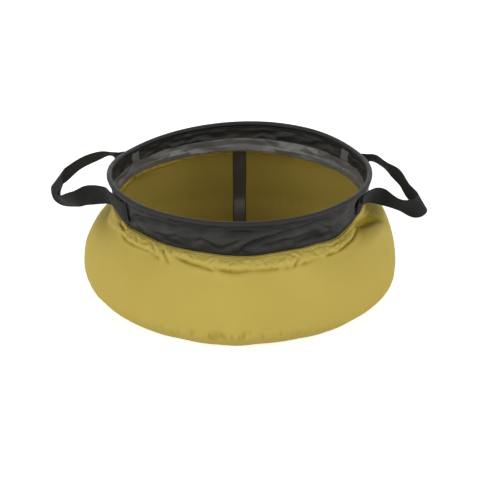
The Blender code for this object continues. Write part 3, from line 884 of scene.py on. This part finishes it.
def wall_relief(azimuth, below, above_base):
    """How far the body's cloth stands out of its smooth form, and how far in a fold its colour puts it, which
    adds painted shade at the left and the right shoulders. It has gathers and a step under the collar, slack
    at the left and the right, a heel low at the front left, slow swells over the bulge, and puckers along the
    base seam and above it."""
    degrees = np.degrees(azimuth) % 360
    from_front = (degrees + 90) % 360
    left = slack(degrees, below, *LEFT_SLACK)
    shoulder = slack(degrees, below, *SHOULDER_SLACK)
    right = slack(from_front, below, *RIGHT_SLACK)
    sunk = LEFT_SLACK_DEPTH * left + SHOULDER_SLACK_DEPTH * shoulder + RIGHT_SLACK_DEPTH * right
    heel = HEEL_HEIGHT * swell(degrees, 211, 22, 24) * swell(above_base, 0.088, 0.028, 0.022)
    lean = LEAN_OUT * swell(from_front, 90, 95, 95) * ease(above_base, 0, 0.03) * ease(below, 0.006, 0.035)
    bulge = BULGE_SWELL * ripple(azimuth, below, 0.070, 1.3, 1.6) * ease(below, 0.012, 0.04)
    soft = SOFT_SWELL * ripple(azimuth, below, 0.026, 8.2, 2.2) * ease(below, 0.010, 0.03)
    creased = gathered(azimuth, below, degrees, from_front) + puckered(azimuth, above_base, degrees)
    creased = creased + fold_heights(azimuth, below, WALL_FOLDS)
    stand = creased - sunk + lean + heel + (bulge + soft) * ease(above_base, 0, 0.02)
    # The second value adds painted shade at the slack shoulders, for the cloth's colour
    return stand, creased - LEFT_SHOULDER_PAINTED_SHADE * left - RIGHT_SHOULDER_PAINTED_SHADE * right


def wall_place(azimuth, share, inwards=0.0):
    """A place on the body's cloth, moved inwards from its outer face."""
    return wall_cloth(azimuth, share, inwards)[0]


def wall_cloth(azimuth, share, inwards=0.0):
    """Places on the body's cloth, and how far each stands out in a fold, with painted shade added at the
    shoulders for its colour.
    """
    share = np.asarray(share, float)
    small = 0.002
    line = wall_outline(share)
    ahead = unit(wall_outline(np.minimum(share + small, 2)) - wall_outline(np.maximum(share - small, 0)))
    square = np.stack([ahead[..., 1], -ahead[..., 0]], -1)
    above_base = np.interp(share, FINE_SHARES, FINE_RUN)
    below = FINE_RUN[-1] - above_base
    stand, creased = wall_relief(azimuth, below, above_base)
    drawn_in, drawn_up = foot_shift(azimuth)
    near_collar = (1 - ease(below, 0, PULL_REACH))[..., None]
    drawn = np.stack(np.broadcast_arrays(-drawn_in, drawn_up), -1) * near_collar
    place = line + square * (stand - inwards)[..., None] + drawn
    place[..., 1] = np.maximum(place[..., 1], 0)
    return turned(azimuth, place[..., 0], place[..., 1]), creased


def make_body_wall():
    """The wall's one sheet, turned in behind the foot of the collar."""
    shares = wall_shares()
    azimuth = full_turn(WALL_COLUMNS)
    cloth, creased = wall_cloth(azimuth[None, :], shares[:, None])
    turn_in = [on_collar(azimuth, COLLAR_LENGTH - up, -COLLAR_CLOTH - TURN_IN_GAP) for up in TURN_IN_RISES]
    points = np.concatenate([cloth, np.stack(turn_in)])
    rise = run_along(wall_outline(shares))
    rise = np.concatenate([rise, rise[-1] + TURN_IN_STEP + np.array(TURN_IN_RISES)])
    # The wall's folds with painted shade at the shoulders, for its colour; none on the turn-in
    relief_and_painted_shade = np.concatenate([creased, np.zeros((len(turn_in), WALL_COLUMNS))])
    runs = turn_runs(WALL_COLUMNS)
    piece = grid_piece("body_wall_cloth", points, runs, rise, body_cloth, around=True, relief_and_painted_shade=relief_and_painted_shade)
    thicken(piece, BODY_CLOTH, -1.0)
    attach(piece, "base")
    fold_with_collapse(piece)
    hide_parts("body_wall")


def fold_with_collapse(piece):
    """Gives the piece a mesh of its own."""
    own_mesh(piece)


def make_body_seam_tape():
    """The tape bonded over the upright seam inside the body, at the back."""
    half = BODY_TAPE_WIDTH / 2
    shares = np.linspace(0.12, 1.97, 90)
    around = np.linspace(-half, half, 9)
    radius = wall_outline(shares)[:, :1]
    azimuth = math.pi / 2 + around[None, :] / radius
    points = wall_place(azimuth, shares[:, None], BODY_CLOTH + TAPE_THICKNESS)
    piece = grid_piece("body_seam_tape_strip", points, around, run_along(wall_outline(shares)), seam_tape)
    thicken(piece, TAPE_THICKNESS * 1.2, 0)
    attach(piece, "base")
    fold_with_collapse(piece)
    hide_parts("body_seam_tape")


# Base

BASE_RINGS = 40
BASE_COLUMNS = 240
BASE_HOLE = 0.002
BASE_EDGE = 0.012
BASE_SWELL = 0.0009
BASE_RIPPLE = 0.0003
BASE_SINK = 0.0003


def make_base():
    """The round bottom, flat along its seam and a little slack inside it."""
    reach = np.linspace(BASE_HOLE, BASE_RADIUS, BASE_RINGS)
    azimuth = full_turn(BASE_COLUMNS)
    spread_out, turn = np.meshgrid(reach, azimuth, indexing="ij")
    place = turned(turn, spread_out, 0.0)
    swells_up = noise_at(place / 0.045, Vector((5, 5, 5))) * BASE_SWELL
    swells_up = swells_up + noise_at(place / 0.016, Vector((8, 8, 8))) * BASE_RIPPLE
    edge = 1 - ease(spread_out, BASE_RADIUS - BASE_EDGE, BASE_RADIUS)
    place[..., 2] = BASE_CLOTH_TOP + np.maximum(swells_up, -BASE_SINK) * edge
    piece = grid_piece("base_cloth", place, turn_runs(BASE_COLUMNS), reach, body_cloth, around=True)
    close_middle(piece, BASE_COLUMNS)
    flat_weave(piece)
    thicken(piece, BODY_CLOTH, -1.0)
    turn_upwards(piece)
    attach(piece, "base")
    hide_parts("base_panel")


def close_middle(piece, columns):
    """Fills the small hole in the middle of a disc of rings."""
    places = [vertex.co for vertex in piece.data.vertices]
    faces = [(len(places), (index + 1) % columns, index) for index in range(columns)]
    add_faces(piece, [tuple(np.mean(places[:columns], axis=0))], faces)


def flat_weave(piece):
    """A flat piece's weave runs straight across it."""
    mesh = piece.data
    layer = mesh.uv_layers.new(name="cloth")
    for loop in mesh.loops:
        layer.data[loop.index].uv = mesh.vertices[loop.vertex_index].co.xy


def turn_upwards(piece):
    """Makes a nearly flat piece's faces look up."""
    if sum(face.normal.z for face in piece.data.polygons) < 0:
        piece.data.flip_normals()


def make_base_seam_tape():
    """The ring of tape over the seam of base and wall: flat on the base, then a little way up the wall."""
    azimuth = full_turn(WALL_COLUMNS)
    lift = TAPE_THICKNESS * 2
    inner = np.linspace(BASE_RADIUS - BASE_TAPE_WIDTH / 2, BASE_RADIUS - 0.0012, 6)
    flat = [turned(azimuth, radius, BASE_CLOTH_TOP + lift) for radius in inner]
    climb = []
    for share in (0.05, 0.08, 0.105):
        ring = wall_place(azimuth, np.full(WALL_COLUMNS, share), BODY_CLOTH + lift)
        ring[..., 2] = np.maximum(ring[..., 2], BASE_CLOTH_TOP + lift)
        climb.append(ring)
    points = np.stack(flat + climb)
    piece = grid_piece("base_seam_tape_ring", points, *ring_runs(points), seam_tape, around=True)
    thicken(piece, TAPE_THICKNESS, 0)
    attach(piece, "base")
    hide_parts("base_seam_tape")


# Collar panels, hem, hoop and tapes

PANELS = {
    "collar_right": (SEAM_AZIMUTHS[3] - 360, SEAM_AZIMUTHS[0]),
    "collar_back": SEAM_AZIMUTHS[0:2],
    "collar_left": SEAM_AZIMUTHS[1:3],
    "collar_front": SEAM_AZIMUTHS[2:4],
}
COLUMNS_PER_DEGREE = 3
COLLAR_ROWS = 46
PANEL_TOP_DOWN = 0.0036

# How deep and how wide the collar is drawn in at its upright seams, and how much more so under their tapes
SEAM_TUCK = 0.0009
SEAM_TUCK_WIDTH = 0.0012
TUCK_UNDER_TAPE = 1.1

# Painted shade on the collar under its hem and on the hem itself, as dark as a fold sunk this far, in metres
HEM_PAINTED_SHADE = 0.0010
HEM_OWN_PAINTED_SHADE = 0.0014

# The hem's pull at its stitches, as ripples takes it, and half the room between its legs
HEM_PULLS = ((0.00022, 0.006, 13.0), (0.0002, 0.020, 14.0))
HEM_HALF_GAP = 0.00105


def seam_tuck(azimuth):
    """How far the cloth is drawn in at the collar's upright seams."""
    apart = [np.abs((azimuth - math.radians(seam) + math.pi) % math.tau - math.pi) for seam in SEAM_AZIMUTHS]
    return SEAM_TUCK * dip(np.min(apart, 0) * HOOP_RADIUS, SEAM_TUCK_WIDTH)


def make_collar():
    """Four panels, each turned in at its upright seams, under the hem and at its foot."""
    flat = np.linspace(PANEL_TOP_DOWN, COLLAR_LENGTH - 0.0008, COLLAR_ROWS)
    down = np.concatenate([flat, [COLLAR_LENGTH] * 2])
    out = np.concatenate([np.zeros(COLLAR_ROWS), [-0.0004, -0.0011]])
    for name, (start, end) in PANELS.items():
        count = round((end - start) * COLUMNS_PER_DEGREE)
        azimuth = np.radians(np.linspace(start, end, count + 1))
        points = on_collar(azimuth[None, :], down[:, None], out[:, None] - seam_tuck(azimuth)[None, :])
        painted_shade_under_hem = 1 - ease(down[:, None], 0.006, 0.015)
        # Painted shade on the collar just under the hem
        relief_and_painted_shade = crinkle(azimuth[None, :], down[:, None]) - HEM_PAINTED_SHADE * painted_shade_under_hem
        piece = grid_piece(name + "_cloth", points, azimuth * HOOP_RADIUS, down, collar_cloth, relief_and_painted_shade=relief_and_painted_shade)
        thicken(piece, COLLAR_CLOTH, 0)
        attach(piece, "rim")
        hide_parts(name)


def hem_profile():
    """The hem's section as (down, out) places: up its outer leg, over the hoop and down its inner leg."""
    leg = HEM_HALF_GAP
    bulb = BULB_RADIUS - 0.0003
    start = math.asin(leg / bulb)
    turns = np.linspace(start, math.tau - start, 20)
    over = [(bulb * math.cos(turn), bulb * math.sin(turn)) for turn in turns]
    edge = [(HEM_LEG, leg * 0.75), (HEM_LEG - 0.0005, leg * 1.1)]
    outer = [*edge, (HEM_LEG - 0.0012, leg), (bulb + 0.0004, leg)]
    inner = [(down, -out) for down, out in reversed(outer)]
    return outer + over + inner


def make_hem():
    """The hem over the hoop, drawn a little uneven by its stitches."""
    azimuth = full_turn(WALL_COLUMNS)
    pull = ripples(azimuth, 0.0, HEM_PULLS)
    rings, hem_painted_shade = [], []
    for down, out in hem_profile():
        sewn = pull * ease(down, -BULB_RADIUS, HEM_LEG)
        rings.append(on_collar(azimuth, down + sewn, out + math.copysign(1, out) * sewn, crinkled=False))
        # Painted shade on the hem's legs and the sides of its roll, less towards its top
        hem_painted_shade.append(np.full(WALL_COLUMNS, -HEM_OWN_PAINTED_SHADE * ease(down, -0.001, 0.002)))
    points = np.stack(rings)
    relief_and_painted_shade = np.stack(hem_painted_shade)
    piece = grid_piece("rim_hem_cloth", points, *ring_runs(points), collar_cloth, around=True, relief_and_painted_shade=relief_and_painted_shade)
    thicken(piece, COLLAR_CLOTH, -1.0)
    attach(piece, "rim")
    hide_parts("rim_hem")


WIRE_RADIUS = 0.0015
FERRULE_RADIUS = 0.0023
FERRULE_LENGTH = 0.026
WIRE_END_GAP = 0.002


def tube_piece(name, centres, radius, sides, material):
    """A closed tube along a line of points, its ends capped."""
    ahead, up = line_frames(centres)
    aside = np.cross(ahead, up)
    turn = full_turn(sides)[:, None]
    rings = centres[:, None] + radius * (up[:, None] * np.cos(turn) + aside[:, None] * np.sin(turn))
    runs = np.linspace(0, math.tau * radius, sides + 1), run_along(centres)
    piece = grid_piece(name, rings, *runs, material, around=True)
    last = len(piece.data.vertices)
    add_faces(piece, [], [tuple(reversed(range(sides))), tuple(range(last - sides, last))])
    return piece


def hoop_line(start, end, count):
    """Places along the hoop's centre line."""
    return on_collar(np.linspace(start, end, count), 0.0, 0.0, crinkled=False)


def make_hoop():
    """The sprung wire, and at the back the ferrule that joins its ends."""
    gap = WIRE_END_GAP / 2 / HOOP_RADIUS
    start = math.pi / 2
    centres = hoop_line(start + gap, start + math.tau - gap, 361)
    wire = tube_piece("hoop_wire", centres, WIRE_RADIUS, 12, spring_steel)
    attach(wire, "rim")
    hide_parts("rim_wire")
    half = FERRULE_LENGTH / 2 / HOOP_RADIUS
    centres = hoop_line(start - half, start + half, 17)
    sleeve = tube_piece("hoop_ferrule", centres, FERRULE_RADIUS, 20, plated_steel)
    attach(sleeve, "rim")
    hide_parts("wire_ferrule")


# The height of the body's seam allowance behind the collar, and the place of a tape inside the collar
ALLOWANCE = 0.0078
TAPE_INSIDE = -COLLAR_CLOTH / 2 - TAPE_THICKNESS


def make_collar_seam_tape():
    """The tape inside the seam of collar and body, from over the body's seam allowance onto the collar."""
    azimuth = full_turn(WALL_COLUMNS)
    above_seam = (0.0003, 0.0030, ALLOWANCE - 0.0010, ALLOWANCE + 0.0006, COLLAR_TAPE_WIDTH)
    over_cloth = (BODY_CLOTH + 0.0011, BODY_CLOTH + 0.0010, BODY_CLOTH + 0.0006, 0.0002, 0.0)
    up = np.linspace(above_seam[0], above_seam[-1], 20)
    out = TAPE_INSIDE - 0.0001 - np.interp(up, above_seam, over_cloth)
    out = out[:, None] - TUCK_UNDER_TAPE * seam_tuck(azimuth)[None, :]
    points = on_collar(azimuth[None, :], COLLAR_LENGTH - up[:, None], out)
    piece = grid_piece("collar_seam_tape_ring", points, *ring_runs(points), seam_tape, around=True)
    thicken(piece, TAPE_THICKNESS, 0)
    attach(piece, "rim")
    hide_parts("collar_seam_tape")


def make_upright_tapes():
    """A strip of tape behind each upright seam of the collar."""
    names = ("back_right_tape", "back_left_tape", "front_left_tape", "front_right_tape")
    down = np.linspace(HEM_LEG + 0.0006, COLLAR_LENGTH - COLLAR_TAPE_WIDTH - 0.0006, 16)
    around = np.linspace(-UPRIGHT_TAPE_WIDTH / 2, UPRIGHT_TAPE_WIDTH / 2, 13)
    for seam, name in zip(SEAM_AZIMUTHS, names):
        azimuth = math.radians(seam) + around / HOOP_RADIUS
        inside = TAPE_INSIDE - TUCK_UNDER_TAPE * seam_tuck(azimuth)
        points = on_collar(azimuth[None, :], down[:, None], inside[None, :])
        piece = grid_piece(name + "_strip", points, around, down, seam_tape)
        thicken(piece, TAPE_THICKNESS, 0)
        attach(piece, "rim")
        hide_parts(name)


# Stitching

# Sizes in metres, and where the hem's stitches lie: down the collar and out from it
STITCH_LENGTH = 0.0024
STITCH_GAP = 0.0006
THREAD_RADIUS = 0.00022
THREAD_SIDES = 6
HEM_STITCHES_DOWN = HEM_LEG - 0.0014
HEM_STITCHES_OUT = 0.0012


def stitches_piece(name, starts, ends, outward, material):
    """A row of stitches as one piece. Each is a short thread, thickest in the middle, whose ends dip into the
    cloth. Outward is the way out of the cloth at each stitch."""
    shares = np.array([0.0, 0.2, 0.5, 0.8, 1.0])
    rise = np.array([-0.6, 0.5, 0.9, 0.5, -0.6]) * THREAD_RADIUS
    thick = np.array([0.7, 0.95, 1.0, 0.95, 0.7]) * THREAD_RADIUS
    turn = full_turn(THREAD_SIDES)[:, None]
    run = ends - starts
    outward = unit(outward)
    aside = np.cross(unit(run), outward)
    centre = starts[:, None] + run[:, None] * shares[:, None] + outward[:, None] * rise[:, None]
    ring = outward[:, None, None] * np.cos(turn) + aside[:, None, None] * np.sin(turn)
    places = (centre[:, :, None] + ring * thick[:, None, None]).reshape(-1, 3)
    per_stitch = len(shares) * THREAD_SIDES
    faces = []
    for base in range(0, len(places), per_stitch):
        for near in range(base, base + per_stitch - THREAD_SIDES, THREAD_SIDES):
            far = near + THREAD_SIDES
            for side in range(THREAD_SIDES):
                after = (side + 1) % THREAD_SIDES
                faces.append((near + side, near + after, far + after, far + side))
        faces.append(tuple(reversed(range(base, base + THREAD_SIDES))))
        faces.append(tuple(range(base + per_stitch - THREAD_SIDES, base + per_stitch)))
    mesh = bpy.data.meshes.new(name)
    mesh.from_pydata(places.tolist(), [], faces)
    return linked_piece(name, mesh, material)


def stitch_azimuths(radius):
    """Where each stitch of a row all the way round starts and ends."""
    pitch = STITCH_LENGTH + STITCH_GAP
    count = round(math.tau * radius / pitch)
    step = math.tau / count
    starts = np.arange(count) * step
    return starts, starts + step * STITCH_LENGTH / pitch


def stitched_round(name, down, out, material):
    """Stitches all the way round the collar at a distance down it."""
    first, last = stitch_azimuths(HOOP_RADIUS)
    starts = on_collar(first, down, out, crinkled=False)
    ends = on_collar(last, down, out, crinkled=False)
    outward = on_collar(first, down, out * 2, crinkled=False) - starts
    piece = stitches_piece(name, starts, ends, outward, material)
    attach(piece, "rim")


def make_wall_topstitch():
    """The row of stitches through the body's cloth, a little below the collar."""
    first, last = stitch_azimuths(FOOT_RADIUS)
    share = np.full(len(first), np.interp(FINE_RUN[-1] - TOPSTITCH_DOWN, FINE_RUN, FINE_SHARES))
    starts = wall_place(first, share)
    ends = wall_place(last, share)
    outward = starts - wall_place(first, share, 0.001)
    piece = stitches_piece("collar_topstitch", starts, ends, outward, ochre_thread)
    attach(piece, "base")
    fold_with_collapse(piece)


def make_stitching():
    """The hem's stitches, which show on both its faces, and the topstitching of the wall."""
    stitched_round("hem_outer_stitches", HEM_STITCHES_DOWN, HEM_STITCHES_OUT, dark_thread)
    stitched_round("hem_inner_stitches", HEM_STITCHES_DOWN, -HEM_STITCHES_OUT, dark_thread)
    make_wall_topstitch()


# Handles

def root_stations(side, end, places):
    """The sewn end of a handle, from the collar's upright seam to where it leaves the side panel."""
    down = WEBBING_TOP_DOWN + WEBBING_WIDTH / 2
    stations = []
    for degrees, lift in zip(places, WEBBING_LIFTS):
        azimuth = math.radians(degrees) * end
        azimuth = azimuth if side > 0 else math.pi - azimuth
        place = on_collar(azimuth, down, WEBBING_OFF_COLLAR + lift, crinkled=False)
        top, foot = (on_collar(azimuth, reach, 0.0, crinkled=False) for reach in (0.0, COLLAR_LENGTH))
        outwards = math.hypot(top[0], top[1]) - math.hypot(foot[0], foot[1])
        stations.append((*place, -math.degrees(math.atan2(outwards, top[2] - foot[2]))))
    return stations


def webbing_section():
    """The webbing's section as (across, through) places, with rounded selvedges."""
    half, thick = WEBBING_WIDTH / 2, WEBBING_THICKNESS / 2
    across = np.linspace(-half + thick, half - thick, 9)
    front = [(value, thick) for value in across]
    bend = [(math.cos(turn), math.sin(turn)) for turn in np.radians([50, 0, -50])]
    right = [(half - thick + thick * c, thick * s) for c, s in bend]
    back = [(value, -thick) for value in across[::-1]]
    left = [(-half + thick - thick * c, -thick * s) for c, s in bend]
    return np.array(front + right + back + left)


def make_handle(side_name, side, roots, free):
    """One length of webbing from the front seam round the loop to the back seam."""
    front = root_stations(side, -1, roots[0])
    back = root_stations(side, 1, roots[1])
    loop = [(side * out, along, up, lean) for out, along, up, lean in free]
    line = smooth_line(front + loop + back[::-1], WEBBING_STEPS)
    centre, lean = line[:, :3], np.radians(line[:, 3])
    ahead, upright = line_frames(centre)
    inside = np.cross(ahead, upright) * -side
    width = upright * np.cos(lean)[:, None] + inside * np.sin(lean)[:, None]
    through = np.cross(ahead, width)
    section = webbing_section()
    points = centre[:, None] + width[:, None] * section[:, :1] + through[:, None] * section[:, 1:]
    across = np.concatenate([section[:, 0], section[:1, 0]]) + WEBBING_WIDTH
    piece = grid_piece(side_name + "_handle_webbing", points, across, run_along(centre), webbing, around=True)
    swap_weave(piece)
    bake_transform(piece)
    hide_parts(f"{side_name}_handle_strap", f"{side_name}_front_tab", f"{side_name}_back_tab")


def swap_weave(piece):
    """Turns the weave so that its first direction runs along the piece."""
    layer = piece.data.uv_layers[0]
    places = np.zeros(len(layer.data) * 2, np.float32)
    layer.data.foreach_get("uv", places)
    layer.data.foreach_set("uv", places.reshape(-1, 2)[:, ::-1].ravel())


# Studio

FLOOR_HALF_WIDTH = 6.0
FLOOR_GAP = 0.0004
FLOOR_WHITE = (0.92, 0.92, 0.92)
FLOOR_WHITE_SEEN = (0.98, 0.98, 0.98)
FLOOR_GLOW_SEEN = 0.68

# The sky's glow falls from its low value to its high one between these heights of a view's direction
SKY_LOW, SKY_HIGH = 0.05, 0.75
SKY_LOW_GLOW, SKY_HIGH_GLOW = 1.1, 0.10

# Each lamp's place in metres, its breadth in degrees and its strength
LAMPS = {
    "left lamp": ((-0.80, -0.55, 0.28), 50, 1.42),
    "right lamp": ((0.80, -0.55, 0.28), 50, 1.32),
    "back lamp": ((0.0, 1.0, 0.35), 60, 0.50),
}


def add_lamp(name, place, breadth, strength):
    """A broad soft lamp that shines from its place towards the basin, equally strong all over the floor."""
    light = bpy.data.lights.new(name, "SUN")
    light.angle = math.radians(breadth)
    light.energy = strength
    lamp = bpy.data.objects.new(name, light)
    lamp.location = place
    lamp.rotation_euler = Vector(place).to_track_quat("Z", "Y").to_euler()
    bpy.context.scene.collection.objects.link(lamp)


def background_rays(tree):
    """1 for rays that show the white background: from the camera, in a gloss and through a clear piece."""
    path = add_node(tree, "ShaderNodeLightPath").outputs
    mirrored = math_node(tree, "MAXIMUM", path["Is Glossy Ray"], path["Is Transmission Ray"])
    return math_node(tree, "MAXIMUM", path["Is Camera Ray"], mirrored)


def make_floor():
    """A broad white floor just under the basin."""
    mesh = bpy.data.meshes.new("floor")
    half = FLOOR_HALF_WIDTH
    corners = [(-half, -half, 0), (half, -half, 0), (half, half, 0), (-half, half, 0)]
    mesh.from_pydata(corners, [], [(0, 1, 2, 3)])
    floor = bpy.data.objects.new("floor", mesh)
    floor.location.z = -FLOOR_GAP
    bpy.context.scene.collection.objects.link(floor)
    material, tree, shader = new_material("white floor")
    seen = background_rays(tree)
    white = mixed_colour(tree, seen, FLOOR_WHITE, FLOOR_WHITE_SEEN)
    glow = spread(tree, seen, 0.0, 1.0, 0.0, FLOOR_GLOW_SEEN)
    gloss = {"Roughness": 0.9, "Specular IOR Level": 0.0}
    emission = {"Emission Color": (1, 1, 1, 1), "Emission Strength": glow}
    set_inputs(tree, shader, {"Base Color": white, **gloss, **emission})
    floor.data.materials.append(material)


def make_world():
    """White all round at the floor's height, as the background, and dim overhead."""
    world = bpy.data.worlds.new("studio")
    bpy.context.scene.world = world
    world.use_nodes = True
    tree = world.node_tree
    direction = add_node(tree, "ShaderNodeTexCoord").outputs["Generated"]
    height = add_node(tree, "ShaderNodeSeparateXYZ", {0: direction}).outputs[2]
    glow = spread(tree, height, SKY_LOW, SKY_HIGH, SKY_LOW_GLOW, SKY_HIGH_GLOW)
    strength = math_node(tree, "MAXIMUM", glow, background_rays(tree))
    set_inputs(tree, tree.nodes["Background"], {"Color": (1, 1, 1, 1), "Strength": strength})


def make_camera():
    data = bpy.data.cameras.new("photo camera")
    data.lens = CAMERA_LENS
    data.sensor_width = CAMERA_SENSOR
    camera = bpy.data.objects.new("photo camera", data)
    rise = math.radians(CAMERA_ELEVATION)
    aim = Vector((CAMERA_ASIDE, 0, CAMERA_AIM_HEIGHT))
    camera.location = aim + CAMERA_DISTANCE * Vector((0, -math.cos(rise), math.sin(rise)))
    camera.rotation_euler = (math.radians(90) - rise, 0, 0)
    bpy.context.scene.collection.objects.link(camera)
    bpy.context.scene.camera = camera


make_camera()
make_body_wall()
make_body_seam_tape()
make_base()
make_base_seam_tape()
make_collar()
make_hem()
make_hoop()
make_collar_seam_tape()
make_upright_tapes()
make_stitching()
make_handle("left", -1, LEFT_ROOTS, LEFT_HANDLE)
make_handle("right", 1, RIGHT_ROOTS, RIGHT_HANDLE)
make_floor()
make_world()
for lamp_name, lamp in LAMPS.items():
    add_lamp(lamp_name, *lamp)
bpy.context.scene.view_settings.view_transform = "Standard"
